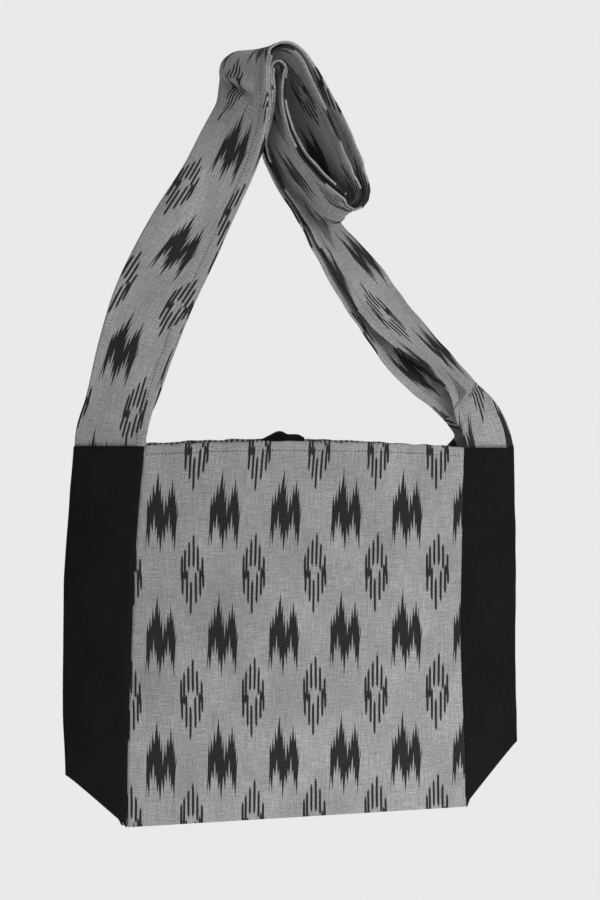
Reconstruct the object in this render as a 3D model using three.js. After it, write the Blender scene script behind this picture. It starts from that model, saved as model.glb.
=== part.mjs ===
// Cotton messenger bag: an open-topped sling bag of grey ikat cotton with black gussets and a wide strap.
// Millimetres, +Z up, front towards -Y. It hangs by its strap, and the origin is the top of the peg that
// the strap is thrown over.

import * as THREE from 'three';

// Cloth thicknesses and clearances
const PANEL_CLOTH = 1.6;
const HEM_CLOTH = 2.8;
const STRAP_CLOTH = 1.4;
const SEAM_GAP = 0.3;
const SEAM_SET = 0.9;
const CORNER_SET = 1.2;
const MITER_LIMIT = 2.5;

// Cut sizes and pressed folds
const GUSSET_WIDTH = 120;
const GUSSET_BELLY = 2.5;
const HEM_DEPTH = 10;
const STRAP_HALF = 36;
const STRAP_FOLD_HALF_GAP = 1.2;
const STRAP_FOLD_REACH = 1.5;
const STRAP_STEP = 14;
const STRAP_SEAT = 40;
const STRAP_CHORD = 2;
const STRAP_SHARES = [1, 0.66, 0.33, 0];
const FOLD_BLUNT = 2.5;
const TUCK_RISE = 56;
const TUCK_INSET = 2.4;
const TUCK_RIDGE = 0.4;
const HEM_STEP = 1.25;

// Curves: how square a belly is, how sharply a corner draws in and how soon a gusset fills
const BELLY_POWER = 0.8;
const CORNER_POWER = 8;
const GUSSET_EASE = 3;

// Cells across and down each piece
const PANEL_CELLS = { across: 14, down: 12 };
const GUSSET_CELLS = 9;
const BOTTOM_CELLS = 12;
const TAB_CELLS = 10;

// Heights of the mouth and of the bottom edge at the left and right seams of the front panel
const MOUTH = { left: -380.5, right: -382.2, arch: 5.2, backRise: 2.6 };
const BASE = { left: -760, right: -739.5 };

// Part of each gusset's height where its outer fold ends and its corner starts to tuck in
const TUCK_START = { left: 0.865, right: 0.819 };

// Body sections from the mouth (fall 0) to the bottom edge (fall 1). The seams are the front panel's sides,
// the folds are the gussets' outer creases, half is the half depth at the seams, and belly is how much
// deeper the middle of a panel is.
const BODY = [
  { fall: 0.0, seamLeft: -111.5, seamRight: 208.0, foldLeft: -182.0, foldRight: 257.5, half: 13, belly: 7 },
  { fall: 0.15, seamLeft: -117.0, seamRight: 207.0, foldLeft: -186.5, foldRight: 258.5, half: 16, belly: 10 },
  { fall: 0.34, seamLeft: -122.0, seamRight: 205.5, foldLeft: -191.5, foldRight: 259.5, half: 18, belly: 12 },
  { fall: 0.52, seamLeft: -124.5, seamRight: 204.5, foldLeft: -192.5, foldRight: 259.0, half: 19, belly: 12 },
  { fall: 0.69, seamLeft: -127.0, seamRight: 206.5, foldLeft: -193.0, foldRight: 259.5, half: 19, belly: 9 },
  { fall: 0.84, seamLeft: -129.0, seamRight: 209.0, foldLeft: -190.5, foldRight: 261.0, half: 18, belly: 5 },
  { fall: 1.0, seamLeft: -129.5, seamRight: 210.5, foldLeft: -189.5, foldRight: 261.5, half: 17, belly: 1 },
];

// Stations along the folded strap, from the left gusset to the right one. x, y and z are the middle of the
// folded band, hem is the bearing from its fold to its hems (0 is +X, -90 is towards the viewer), lift is
// how far that direction rises, front and back are the widths of its two layers, and gap is how far the
// hems stand apart.
const STRAP = [
  { x: -145.0, y: 0, z: -380.2, hem: 0, lift: 0, front: 70.5, back: 46.5, gap: 26 },
  { x: -143.7, y: 0, z: -367, hem: 0, lift: 0, front: 70, back: 53, gap: 22 },
  { x: -135.2, y: -1, z: -342, hem: 0, lift: 0, front: 67, back: 66, gap: 14 },
  { x: -121.2, y: -3, z: -282, hem: 0, lift: 0, front: 72, back: 74.5, gap: 8 },
  { x: -105.0, y: -5, z: -231, hem: 0, lift: 0, front: 76, back: 78, gap: 6 },
  { x: -74.5, y: -7, z: -171, hem: 0, lift: 0, front: 74, back: 76, gap: 5 },
  { x: -38.5, y: -9, z: -113, hem: -6, lift: 0, front: 66, back: 67, gap: 4.5 },
  { x: -20.5, y: -10, z: -68, hem: -28, lift: 0, front: 69, back: 70, gap: 4 },
  { x: -13.5, y: -11, z: -42, hem: -42, lift: 0, front: 72, back: 72, gap: 3.6 },
  { x: -12.0, y: -10.5, z: -14, hem: -48, lift: 0, front: 72, back: 72, gap: 3 },
  { x: -10.5, y: -9, z: 3, hem: -48, lift: 1, front: 72, back: 72, gap: 3.4 },
  { x: -3.0, y: -4, z: 12.5, hem: -50, lift: 3, front: 72, back: 72, gap: 4.2 },
  { x: 9.0, y: 1, z: 15.8, hem: -53, lift: 4, front: 72, back: 72, gap: 5 },
  { x: 19.0, y: 5, z: 12.3, hem: -55, lift: 6, front: 72, back: 72, gap: 6 },
  { x: 29.0, y: 8, z: 2, hem: -56, lift: 9, front: 72, back: 72, gap: 7.5 },
  { x: 37.5, y: 9, z: -16.5, hem: -53, lift: 13, front: 72, back: 71, gap: 11 },
  { x: 51.5, y: 5, z: -49, hem: -48, lift: 13, front: 72, back: 70, gap: 14 },
  { x: 62.5, y: -3, z: -73, hem: -48, lift: 13, front: 72, back: 70, gap: 16 },
  { x: 73.5, y: -11, z: -96, hem: -51, lift: 13, front: 72, back: 70, gap: 16 },
  { x: 85.0, y: -17, z: -117, hem: -57, lift: 14, front: 72, back: 70, gap: 14 },
  { x: 94.0, y: -21, z: -135, hem: -64, lift: 14, front: 72, back: 71, gap: 9 },
  { x: 89.5, y: -22.5, z: -145, hem: -66, lift: 14, front: 72, back: 71, gap: 7 },
  { x: 77.5, y: -22.5, z: -141.5, hem: -68, lift: 12, front: 72, back: 72, gap: 6.5 },
  { x: 62.0, y: -20, z: -126, hem: -71, lift: 10, front: 72, back: 72, gap: 7 },
  { x: 41.5, y: -15, z: -101, hem: -72, lift: 8, front: 72, back: 72, gap: 6 },
  { x: 26.0, y: -9, z: -76, hem: -70, lift: 7, front: 72, back: 72, gap: 5 },
  { x: 17.5, y: -4.5, z: -55, hem: -67, lift: 5, front: 72, back: 72, gap: 4 },
  { x: 11.5, y: 1, z: -34, hem: -60, lift: 3, front: 72, back: 72, gap: 3.5 },
  { x: 8.0, y: 5.5, z: -15, hem: -53, lift: 0, front: 72, back: 72, gap: 3 },
  { x: 6.6, y: 5.5, z: -6, hem: -50, lift: 0, front: 72, back: 72, gap: 3 },
  { x: 4.7, y: 3.9, z: 0.1, hem: -50, lift: 0, front: 72, back: 72, gap: 3 },
  { x: 0.0, y: 0, z: 2.6, hem: -50, lift: 0, front: 72, back: 72, gap: 3 },
  { x: -4.7, y: -3.9, z: 0.1, hem: -50, lift: 0, front: 72, back: 72, gap: 3 },
  { x: -6.4, y: -4.6, z: -8, hem: -51, lift: 0, front: 72, back: 72, gap: 3 },
  { x: -4.5, y: 0, z: -20, hem: -56, lift: 0, front: 72, back: 72, gap: 3 },
  { x: -3.5, y: 9, z: -36, hem: -62, lift: 0, front: 71, back: 72, gap: 3.5 },
  { x: -2.0, y: 18.5, z: -54, hem: -72, lift: 0, front: 70, back: 71, gap: 4 },
  { x: 4.5, y: 25.5, z: -75, hem: -88, lift: 0, front: 65, back: 66, gap: 5 },
  { x: 20.5, y: 28.5, z: -99, hem: -107, lift: 0, front: 60, back: 61, gap: 5 },
  { x: 44.5, y: 27.5, z: -132, hem: -122, lift: 0, front: 58, back: 60.5, gap: 5 },
  { x: 69.3, y: 24, z: -167, hem: -129, lift: 0, front: 63, back: 66.5, gap: 6 },
  { x: 100.1, y: 21, z: -210, hem: -142, lift: 0, front: 64.5, back: 68, gap: 8 },
  { x: 129.4, y: 17.5, z: -250.8, hem: -146, lift: 0, front: 65, back: 68.5, gap: 12 },
  { x: 161.0, y: 12, z: -293, hem: -152, lift: 0, front: 47, back: 64, gap: 18 },
  { x: 189.5, y: 6, z: -328, hem: -158, lift: 0, front: 39, back: 51.5, gap: 23 },
  { x: 205.5, y: 2, z: -350, hem: -172, lift: 0, front: 45, back: 49, gap: 24 },
  { x: 217.0, y: 0, z: -368, hem: -180, lift: 0, front: 47, back: 54, gap: 26 },
  { x: 221.5, y: 0, z: -381.9, hem: -180, lift: 0, front: 49.5, back: 67.6, gap: 26 },
];

// Closure tab: x is along the mouth, crest is the height of its fold there
const TAB = [
  { x: 4, crest: -374.5 },
  { x: 13, crest: -370 },
  { x: 21, crest: -366 },
  { x: 26, crest: -366 },
  { x: 31, crest: -368.5 },
  { x: 42, crest: -369 },
  { x: 48, crest: -372 },
];
const TAB_DEPTH = 10;
const TAB_SEWN_Z = -404;
const TAB_FREE_Z = -396;
const TAB_SHOULDER = { reach: 0.12, drop: 3 };
const TAB_RISE = [0, 0.5, 0.8];

const COLOURS = { ikat: 0x8c8c8a, black: 0x1c1c1d };

const lerp = THREE.MathUtils.lerp;
const point = (x, y, z) => new THREE.Vector3(x, y, z);

// Smooth values of one column of a table, read at any place along it
function columnReader(rows, places, key) {
  const slope = (i) => {
    const a = Math.max(i - 1, 0);
    const b = Math.min(i + 1, rows.length - 1);
    return (rows[b][key] - rows[a][key]) / (places[b] - places[a]);
  };
  return (place) => {
    let i = 0;
    while (i < rows.length - 2 && place > places[i + 1]) i += 1;
    const span = places[i + 1] - places[i];
    const t = (place - places[i]) / span;
    const s = 1 - t;
    const ends = rows[i][key] * (1 + 2 * t) * s * s + rows[i + 1][key] * (1 + 2 * s) * t * t;
    return ends + span * (slope(i) * t * s * s - slope(i + 1) * s * t * t);
  };
}

// A closed cloth wall around a grid of middle points. thickness(i, j) is the wall there, and
// leansBack(i, j) says which way a cell is split into two triangles.
function clothWall(grid, thickness, leansBack = () => false) {
  const rows = grid.length;
  const cols = grid[0].length;
  const at = (i, j) => i * cols + j;
  const points = grid.flat();
  const cells = [];
  for (let i = 0; i < rows - 1; i += 1) {
    for (let j = 0; j < cols - 1; j += 1) {
      const [a, b, c, d] = [at(i, j), at(i, j + 1), at(i + 1, j + 1), at(i + 1, j)];
      if (leansBack(i, j)) cells.push([a, b, d], [b, c, d]);
      else cells.push([a, b, c], [a, c, d]);
    }
  }
  const touching = points.map(() => []);
  for (const cell of cells) {
    const [a, b, c] = cell.map((k) => points[k]);
    const normal = b.clone().sub(a).cross(c.clone().sub(a)).normalize();
    for (const k of cell) touching[k].push(normal);
  }
  const offsets = touching.map((normals, k) => {
    const mean = normals.reduce((sum, n) => sum.add(n), point(0, 0, 0)).normalize();
    const spread = normals.reduce((sum, n) => sum + n.dot(mean), 0) / normals.length;
    const miter = Math.min(MITER_LIMIT, 1 / Math.max(spread, 1 / MITER_LIMIT));
    const half = thickness(Math.floor(k / cols), k % cols) / 2;
    return mean.multiplyScalar(half * miter);
  });
  const outer = points.map((p, k) => p.clone().add(offsets[k]));
  const inner = points.map((p, k) => p.clone().sub(offsets[k]));
  const count = points.length;
  const faces = [];
  for (const [a, b, c] of cells) faces.push([a, b, c], [a + count, c + count, b + count]);
  const rim = (a, b) => faces.push([b, a, a + count], [b, a + count, b + count]);
  for (let j = 0; j < cols - 1; j += 1) {
    rim(at(0, j), at(0, j + 1));
    rim(at(rows - 1, j + 1), at(rows - 1, j));
  }
  for (let i = 0; i < rows - 1; i += 1) {
    rim(at(i, cols - 1), at(i + 1, cols - 1));
    rim(at(i + 1, 0), at(i, 0));
  }
  const geometry = new THREE.BufferGeometry();
  geometry.setFromPoints([...outer, ...inner]);
  geometry.setIndex(faces.flat());
  geometry.computeVertexNormals();
  return geometry;
}

function cloth(name, colour, geometry) {
  const material = new THREE.MeshStandardMaterial({ color: colour, roughness: 0.95, metalness: 0 });
  const mesh = new THREE.Mesh(geometry, material);
  mesh.name = name;
  return mesh;
}

const evenly = (count) => Array.from({ length: count + 1 }, (_, i) => i / count);

// Body columns at any fall, and the back seams that the gussets' cut width leaves
const falls = BODY.map((row) => row.fall);
const body = Object.fromEntries(
  ['seamLeft', 'seamRight', 'foldLeft', 'foldRight', 'half', 'belly'].map((key) => [
    key,
    columnReader(BODY, falls, key),
  ]),
);

function backSeam(seam, fold, half) {
  const frontWing = Math.hypot(fold - seam, half);
  const reach = Math.sqrt((GUSSET_WIDTH - frontWing) ** 2 - half ** 2);
  return fold + Math.sign(seam - fold) * reach;
}

const backLeft = (fall) => backSeam(body.seamLeft(fall), body.foldLeft(fall), body.half(fall));
const backRight = (fall) => backSeam(body.seamRight(fall), body.foldRight(fall), body.half(fall));

// Height of the wall across the bag (u from left to right) and down it
function wallHeight(u, fall, rise) {
  const top = lerp(MOUTH.left, MOUTH.right, u) + (MOUTH.arch + rise) * 4 * u * (1 - u);
  const bottom = lerp(BASE.left, BASE.right, u);
  return lerp(top, bottom, fall);
}

const bulge = (u) => Math.sin(Math.PI * u) ** BELLY_POWER;

// How far a panel's side stands in from the seam line, more at the folded bottom corners
const sideSet = (fall) => SEAM_SET + CORNER_SET * fall ** CORNER_POWER;

function frontPoint(u, fall) {
  const x = lerp(body.seamLeft(fall) + sideSet(fall), body.seamRight(fall) - sideSet(fall), u);
  const depth = body.half(fall) + body.belly(fall) * bulge(u);
  return point(x, -depth, wallHeight(u, fall, 0));
}

function backPoint(u, fall) {
  const x = lerp(backLeft(fall) + sideSet(fall), backRight(fall) - sideSet(fall), u);
  const depth = body.half(fall) + body.belly(fall) * bulge(u);
  return point(x, depth, wallHeight(u, fall, MOUTH.backRise));
}

// Front and back panels: the two first rows are the turned hem
const hemFall = HEM_DEPTH / (MOUTH.left - BASE.left);
const panelFalls = [0, hemFall, hemFall * HEM_STEP, ...evenly(PANEL_CELLS.down).slice(1)];
const hemRows = 2;

function panel(place, facesFront) {
  const across = evenly(PANEL_CELLS.across);
  if (!facesFront) across.reverse();
  const grid = panelFalls.map((fall) => across.map((u) => place(u, fall)));
  return clothWall(grid.reverse(), (i) => (i >= grid.length - hemRows ? HEM_CLOTH : PANEL_CLOTH));
}

const frontPanel = cloth('front_panel', COLOURS.ikat, panel(frontPoint, true));
const backPanel = cloth('back_panel', COLOURS.ikat, panel(backPoint, false));

// Corners of one gusset: seam and fold read the body table, top and bottom are its seam heights
const SIDES = {
  left: { seam: body.seamLeft, fold: body.foldLeft, back: backLeft, out: -1 },
  right: { seam: body.seamRight, fold: body.foldRight, back: backRight, out: 1 },
};

// End of the tucked corner's ridge, whose two edges stand FOLD_BLUNT to the front and to the back
function tuckEnd(side, depth) {
  const { seam, back } = SIDES[side];
  return point(lerp(seam(1), back(1), TUCK_RIDGE), depth * FOLD_BLUNT, BASE[side] + TUCK_RISE);
}

// A gusset: two wings from the seams to a blunt outer fold, and below TUCK_START a corner folded up inside
const WING = [0, 1 / 3, 2 / 3, 1];
const wingCells = WING.length - 1;

function gusset(side) {
  const { seam, fold, back, out } = SIDES[side];
  const start = TUCK_START[side];
  const height = (fall) => lerp(MOUTH[side], BASE[side], fall);
  const wings = [
    { edge: seam, depth: -1 },
    { edge: back, depth: 1 },
  ].map(({ edge, depth }) => ({
    seamAt: (fall) => point(edge(fall), depth * body.half(fall), height(fall)),
    creaseAt: (fall) => point(fold(fall), depth * FOLD_BLUNT, height(fall)),
    tuck: tuckEnd(side, depth),
    belly: point(0, depth * GUSSET_BELLY, 0),
  }));
  const upper = (wing, fall, reach) => {
    const fullness = 4 * reach * (1 - reach) * Math.min(1, (start - fall) / start * GUSSET_EASE);
    return wing.seamAt(fall).lerp(wing.creaseAt(fall), reach).addScaledVector(wing.belly, fullness);
  };
  const lower = (wing, up, reach) => {
    const foot = wing.seamAt(1);
    const level = wing.seamAt(start);
    const corner = wing.creaseAt(start);
    if (up >= reach) return foot.clone().lerp(level, up).addScaledVector(corner.clone().sub(level), reach);
    return foot.clone().lerp(wing.tuck, reach).addScaledVector(corner.clone().sub(wing.tuck), up);
  };
  const across = (place) => [
    ...WING.map((reach) => place(wings[0], reach)),
    ...WING.slice().reverse().map((reach) => place(wings[1], reach)),
  ];
  const upperFalls = evenly(GUSSET_CELLS).slice(0, -1).map((t) => t * start);
  const grid = [
    ...upperFalls.map((fall) => across((wing, reach) => upper(wing, fall, reach))),
    ...WING.slice().reverse().map((up) => across((wing, reach) => lower(wing, up, reach))),
  ];
  if (out > 0) grid.forEach((row) => row.reverse());
  const lowerStart = upperFalls.length;
  const leansBack = (i, j) => i >= lowerStart && j < wingCells;
  return clothWall(grid, () => PANEL_CLOTH, leansBack);
}

const gussetLeft = cloth('gusset_left', COLOURS.black, gusset('left'));
const gussetRight = cloth('gusset_right', COLOURS.black, gusset('right'));

// Bottom panel: an inverted V between the two bottom edges
function bottomPanel() {
  const ends = ['left', 'right'].map((side) => {
    const { seam, back, out } = SIDES[side];
    const inward = -out * CORNER_SET;
    const edgeDepth = body.half(1) - TUCK_INSET;
    const edgeHeight = BASE[side] + PANEL_CLOTH / 2;
    return [
      point(seam(1) + inward, -edgeDepth, edgeHeight),
      tuckEnd(side, -1).add(point(inward, 0, 0)),
      tuckEnd(side, 1).add(point(inward, 0, 0)),
      point(back(1) + inward, edgeDepth, edgeHeight),
    ];
  });
  const rows = evenly(BOTTOM_CELLS).map((u) => {
    const [front, ridge, farRidge, back] = [0, 1, 2, 3].map((k) => ends[0][k].clone().lerp(ends[1][k], u));
    return [
      front,
      front.clone().lerp(ridge, 0.5),
      ridge,
      farRidge,
      farRidge.clone().lerp(back, 0.5),
      back,
    ];
  });
  return clothWall(rows, () => PANEL_CLOTH);
}

const bottom = cloth('bottom_panel', COLOURS.ikat, bottomPanel());

// Shoulder strap: a hemmed band folded along its length, swept along the stations
function strapSections() {
  const places = [0];
  for (let i = 1; i < STRAP.length; i += 1) {
    const [a, b] = [STRAP[i - 1], STRAP[i]];
    places.push(places[i - 1] + Math.hypot(b.x - a.x, b.y - a.y, b.z - a.z));
  }
  const read = Object.fromEntries(
    Object.keys(STRAP[0]).map((key) => [key, columnReader(STRAP, places, key)]),
  );
  const middle = (s) => point(read.x(s), read.y(s), read.z(s));
  const stops = [0];
  for (let i = 1; i < places.length; i += 1) {
    const steps = Math.ceil((places[i] - places[i - 1]) / STRAP_STEP);
    for (let k = 1; k <= steps; k += 1) stops.push(lerp(places[i - 1], places[i], k / steps));
  }
  const length = places[places.length - 1];
  return stops.map((s) => {
    const along = middle(Math.min(s + STRAP_CHORD, length))
      .sub(middle(Math.max(s - STRAP_CHORD, 0)))
      .normalize();
    const upright = point(0, 0, s < length / 2 ? 1 : -1);
    const seated = 1 - THREE.MathUtils.smoothstep(Math.min(s, length - s), 0, STRAP_SEAT);
    along.lerp(upright, seated).normalize();
    const hem = THREE.MathUtils.degToRad(read.hem(s));
    const lift = THREE.MathUtils.degToRad(read.lift(s));
    const width = point(Math.cos(hem) * Math.cos(lift), Math.sin(hem) * Math.cos(lift), Math.sin(lift));
    width.addScaledVector(along, -width.dot(along)).normalize();
    const face = width.clone().cross(along);
    const fold = middle(s).addScaledVector(width, -STRAP_HALF);
    return { fold, width, face, front: read.front(s), back: read.back(s), gap: read.gap(s) };
  });
}

function strapRow({ fold, width, face, front, back, gap }) {
  const layer = (span, side) => (share) => {
    const reach = lerp(STRAP_FOLD_REACH, span, share);
    const apart = lerp(STRAP_FOLD_HALF_GAP, gap / 2, share);
    return fold.clone().addScaledVector(width, reach).addScaledVector(face, side * apart);
  };
  const frontLayer = STRAP_SHARES.map(layer(front, 1));
  const backLayer = STRAP_SHARES.map(layer(back, -1)).reverse();
  return [...frontLayer, fold.clone(), ...backLayer];
}

const strapGrid = strapSections().map(strapRow);
const strap = cloth('shoulder_strap', COLOURS.ikat, clothWall(strapGrid, () => STRAP_CLOTH));

// Closure tab: sewn inside the back panel, over its crest and down into the mouth
function closureTab() {
  const places = TAB.map((row) => row.x);
  const crest = columnReader(TAB, places, 'crest');
  const xs = evenly(TAB_CELLS).map((t) => lerp(places[0], places[places.length - 1], t));
  const mouthSpan = backRight(0) - backLeft(0);
  const seat = (x, z) => {
    const u = (x - backLeft(0)) / mouthSpan;
    const top = wallHeight(u, 0, MOUTH.backRise);
    const fall = Math.max(0, (top - z) / (top - wallHeight(u, 1, 0)));
    const inside = HEM_CLOTH / 2 + PANEL_CLOTH / 2 + SEAM_GAP;
    return body.half(fall) + body.belly(fall) * bulge(u) - inside;
  };
  const rows = xs.map((x) => {
    const top = crest(x);
    const shoulder = top - TAB_SHOULDER.drop;
    const y = seat(x, shoulder);
    const sewn = TAB_RISE.map((rise) => lerp(TAB_SEWN_Z, shoulder, rise));
    return [
      ...sewn.map((z) => point(x, seat(x, z), z)),
      point(x, y - TAB_SHOULDER.reach * TAB_DEPTH, shoulder),
      point(x, y - 0.5 * TAB_DEPTH, top),
      point(x, y - (1 - TAB_SHOULDER.reach) * TAB_DEPTH, shoulder),
      point(x, y - TAB_DEPTH, lerp(TAB_FREE_Z, top, 0.5)),
      point(x, y - TAB_DEPTH, TAB_FREE_Z),
    ];
  });
  return clothWall(rows, () => PANEL_CLOTH);
}

const tab = cloth('closure_tab', COLOURS.black, closureTab());

const bag = new THREE.Group();
bag.add(frontPanel, backPanel, bottom, gussetLeft, gussetRight, strap, tab);

export default bag;
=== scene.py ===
import math

import bpy
import numpy as np
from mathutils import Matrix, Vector


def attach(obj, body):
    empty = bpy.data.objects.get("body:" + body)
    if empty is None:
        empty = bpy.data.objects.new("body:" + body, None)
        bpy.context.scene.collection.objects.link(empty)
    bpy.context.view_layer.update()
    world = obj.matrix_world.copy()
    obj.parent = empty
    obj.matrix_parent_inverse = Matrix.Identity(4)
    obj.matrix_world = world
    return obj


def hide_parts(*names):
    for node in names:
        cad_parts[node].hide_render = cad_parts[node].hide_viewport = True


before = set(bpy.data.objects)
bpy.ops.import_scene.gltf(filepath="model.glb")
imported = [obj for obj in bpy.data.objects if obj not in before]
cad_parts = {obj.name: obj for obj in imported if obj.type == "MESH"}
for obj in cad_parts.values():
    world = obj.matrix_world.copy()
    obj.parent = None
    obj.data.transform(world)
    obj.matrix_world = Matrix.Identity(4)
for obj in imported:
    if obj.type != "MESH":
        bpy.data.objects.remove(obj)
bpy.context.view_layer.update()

# Cotton messenger bag: grey ikat cloth, black gussets, a strap folded along its length and thrown over a peg.
# The tables repeat the solids' sizes in millimetres; meshes are made in metres.
MM = 0.001

# Camera at the photograph's angle: 1 mm is one pixel at the plane of the strap's base
CAMERA_PLACE = (0.044, -7.5, -0.384)
CAMERA_LENS = 300
CAMERA_SENSOR = 36

camera_data = bpy.data.cameras.new("camera")
camera_data.lens = CAMERA_LENS
camera_data.sensor_width = CAMERA_SENSOR
camera = bpy.data.objects.new("camera", camera_data)
camera.location = CAMERA_PLACE
camera.rotation_euler = (math.radians(90), 0, 0)
bpy.context.scene.collection.objects.link(camera)
bpy.context.scene.camera = camera

# Cloth, seams and folds
PANEL_CLOTH = 1.4
STRAP_CLOTH = 1.2
HEM_CLOTH = 2.6
STRAP_HEM_CLOTH = 2.1
HEM_DEPTH = 9.5
SEAM_SET = 0.9
CORNER_SET = 1.2
GUSSET_WIDTH = 120
GUSSET_BELLY = 2.5
STRAP_HALF = 36
STRAP_SEAT = 40
FOLD_REACH = 1.5
FOLD_HALF_GAP = 1.2
FOLD_BLUNT = 2.5
TUCK_RISE = 56
TUCK_INSET = 2.4
TUCK_RIDGE = 0.4
SEAM_GAP = 0.3

MOUTH = {"left": -380.5, "right": -382.2, "arch": 5.2, "back_rise": 2.6}
BASE = {"left": -760, "right": -739.5}
TUCK_START = {"left": 0.865, "right": 0.819}

# Body sections from the mouth (fall 0) to the bottom edge (fall 1)
BODY_COLUMNS = ("fall", "seam_left", "seam_right", "fold_left", "fold_right", "half", "belly")
BODY = [
    (0.00, -111.5, 208.0, -182.0, 257.5, 13, 7),
    (0.15, -117.0, 207.0, -186.5, 258.5, 16, 10),
    (0.34, -122.0, 205.5, -191.5, 259.5, 18, 12),
    (0.52, -124.5, 204.5, -192.5, 259.0, 19, 12),
    (0.69, -127.0, 206.5, -193.0, 259.5, 19, 9),
    (0.84, -129.0, 209.0, -190.5, 261.0, 18, 5),
    (1.00, -129.5, 210.5, -189.5, 261.5, 17, 1),
]

# Stations along the folded strap: middle of the band, bearing and rise from its fold to its hems, widths of
# its two layers, and how far the hems stand apart
STRAP_COLUMNS = ("x", "y", "z", "hem", "lift", "front", "back", "gap")
STRAP = [
    (-145.0, 0, -380.2, 0, 0, 70.5, 46.5, 26),
    (-143.7, 0, -367, 0, 0, 70, 53, 22),
    (-135.2, -1, -342, 0, 0, 67, 66, 14),
    (-121.2, -3, -282, 0, 0, 72, 74.5, 8),
    (-105.0, -5, -231, 0, 0, 76, 78, 6),
    (-74.5, -7, -171, 0, 0, 74, 76, 5),
    (-38.5, -9, -113, -6, 0, 66, 67, 4.5),
    (-20.5, -10, -68, -28, 0, 69, 70, 4),
    (-13.5, -11, -42, -42, 0, 72, 72, 3.6),
    (-12.0, -10.5, -14, -48, 0, 72, 72, 3),
    (-10.5, -9, 3, -48, 1, 72, 72, 3.4),
    (-3.0, -4, 12.5, -50, 3, 72, 72, 4.2),
    (9.0, 1, 15.8, -53, 4, 72, 72, 5),
    (19.0, 5, 12.3, -55, 6, 72, 72, 6),
    (29.0, 8, 2, -56, 9, 72, 72, 7.5),
    (37.5, 9, -16.5, -53, 13, 72, 71, 11),
    (51.5, 5, -49, -48, 13, 72, 70, 14),
    (62.5, -3, -73, -48, 13, 72, 70, 16),
    (73.5, -11, -96, -51, 13, 72, 70, 16),
    (85.0, -17, -117, -57, 14, 72, 70, 14),
    (94.0, -21, -135, -64, 14, 72, 71, 9),
    (89.5, -22.5, -145, -66, 14, 72, 71, 7),
    (77.5, -22.5, -141.5, -68, 12, 72, 72, 6.5),
    (62.0, -20, -126, -71, 10, 72, 72, 7),
    (41.5, -15, -101, -72, 8, 72, 72, 6),
    (26.0, -9, -76, -70, 7, 72, 72, 5),
    (17.5, -4.5, -55, -67, 5, 72, 72, 4),
    (11.5, 1, -34, -60, 3, 72, 72, 3.5),
    (8.0, 5.5, -15, -53, 0, 72, 72, 3),
    (6.6, 5.5, -6, -50, 0, 72, 72, 3),
    (4.7, 3.9, 0.1, -50, 0, 72, 72, 3),
    (0.0, 0, 2.6, -50, 0, 72, 72, 3),
    (-4.7, -3.9, 0.1, -50, 0, 72, 72, 3),
    (-6.4, -4.6, -8, -51, 0, 72, 72, 3),
    (-4.5, 0, -20, -56, 0, 72, 72, 3),
    (-3.5, 9, -36, -62, 0, 71, 72, 3.5),
    (-2.0, 18.5, -54, -72, 0, 70, 71, 4),
    (4.5, 25.5, -75, -88, 0, 65, 66, 5),
    (20.5, 28.5, -99, -107, 0, 60, 61, 5),
    (44.5, 27.5, -132, -122, 0, 58, 60.5, 5),
    (69.3, 24, -167, -129, 0, 63, 66.5, 6),
    (100.1, 21, -210, -142, 0, 64.5, 68, 8),
    (129.4, 17.5, -250.8, -146, 0, 65, 68.5, 12),
    (161.0, 12, -293, -152, 0, 47, 64, 18),
    (189.5, 6, -328, -158, 0, 39, 51.5, 23),
    (205.5, 2, -350, -172, 0, 45, 49, 24),
    (217.0, 0, -368, -180, 0, 47, 54, 26),
    (221.5, 0, -381.9, -180, 0, 49.5, 67.6, 26),
]

# The strap's fold wanders over the cloth: the cloth's shift across and along at a station, and the share of
# its width that is gathered where the drawn layer is narrower than the cloth
WANDER_COLUMNS = ("station", "across", "along", "gather")
WANDER = [
    (0, 13, -6, 1),
    (100, 11, -4, 1),
    (215, -5, 6, 1),
    (320, -8, 18, 1),
    (350, -9, 17, 1),
    (366, -18, 8, 1),
    (384, -22, 12, 1),
    (405, -20, 27, 1),
    (430, -16, 30, 1),
    (520, -4, 26, 1),
    (640, 10, 18, 1),
    (1000, 21, 24, 1),
    (1229, 22, 26, 1),
    (1232, -3, 48, 0),
    (1260, -16, 47, 0),
    (1300, -18, 46, 0),
]
# Away from the fold the table is read further back, by this share of the distance
WANDER_SLANT = 0.25

# Pinches across the strap: station at the fold and at the far end, how far across, depth and width
PINCH_COLUMNS = ("fold_station", "far_station", "reach", "depth", "wide")
PINCHES = [
    (394, 376, 52, 6.8, 4.6),
    (1230, 1241, 44, 1.8, 3.0),
    (1196, 1206, 50, 1.0, 4.0),
]
PINCH_FADE = 0.7
# The lip beside a pinch, as shares of the pinch's depth and width
PINCH_LIP = {"depth": 0.9, "place": 2.2, "wide": 1.2}

# Closure tab: place along the mouth and height of its crest
TAB_COLUMNS = ("x", "crest")
TAB = [(4, -374.5), (13, -370), (21, -366), (26, -366), (31, -368.5), (42, -369), (48, -372)]
TAB_DEPTH = 10
TAB_SEWN_Z = -404
TAB_FREE_Z = -396
TAB_CLEAR = 0.5
TAB_CREST = 3
TAB_LEAD = {"sewn": 2, "free": 3}
TAB_STEPS = {"sewn": 8, "crest": 11, "free": 6}
TAB_ROWS = 34

# Ikat repeat, and the place of a dark flame on the front panel and on the strap
REPEAT_X = 61.2
REPEAT_Y = 124.0
FRONT_MOTIF = (-94.5, -446.0)
STRAP_MOTIF = (36.0, 94.0)
DIAMOND_DROP = -1.0

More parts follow.
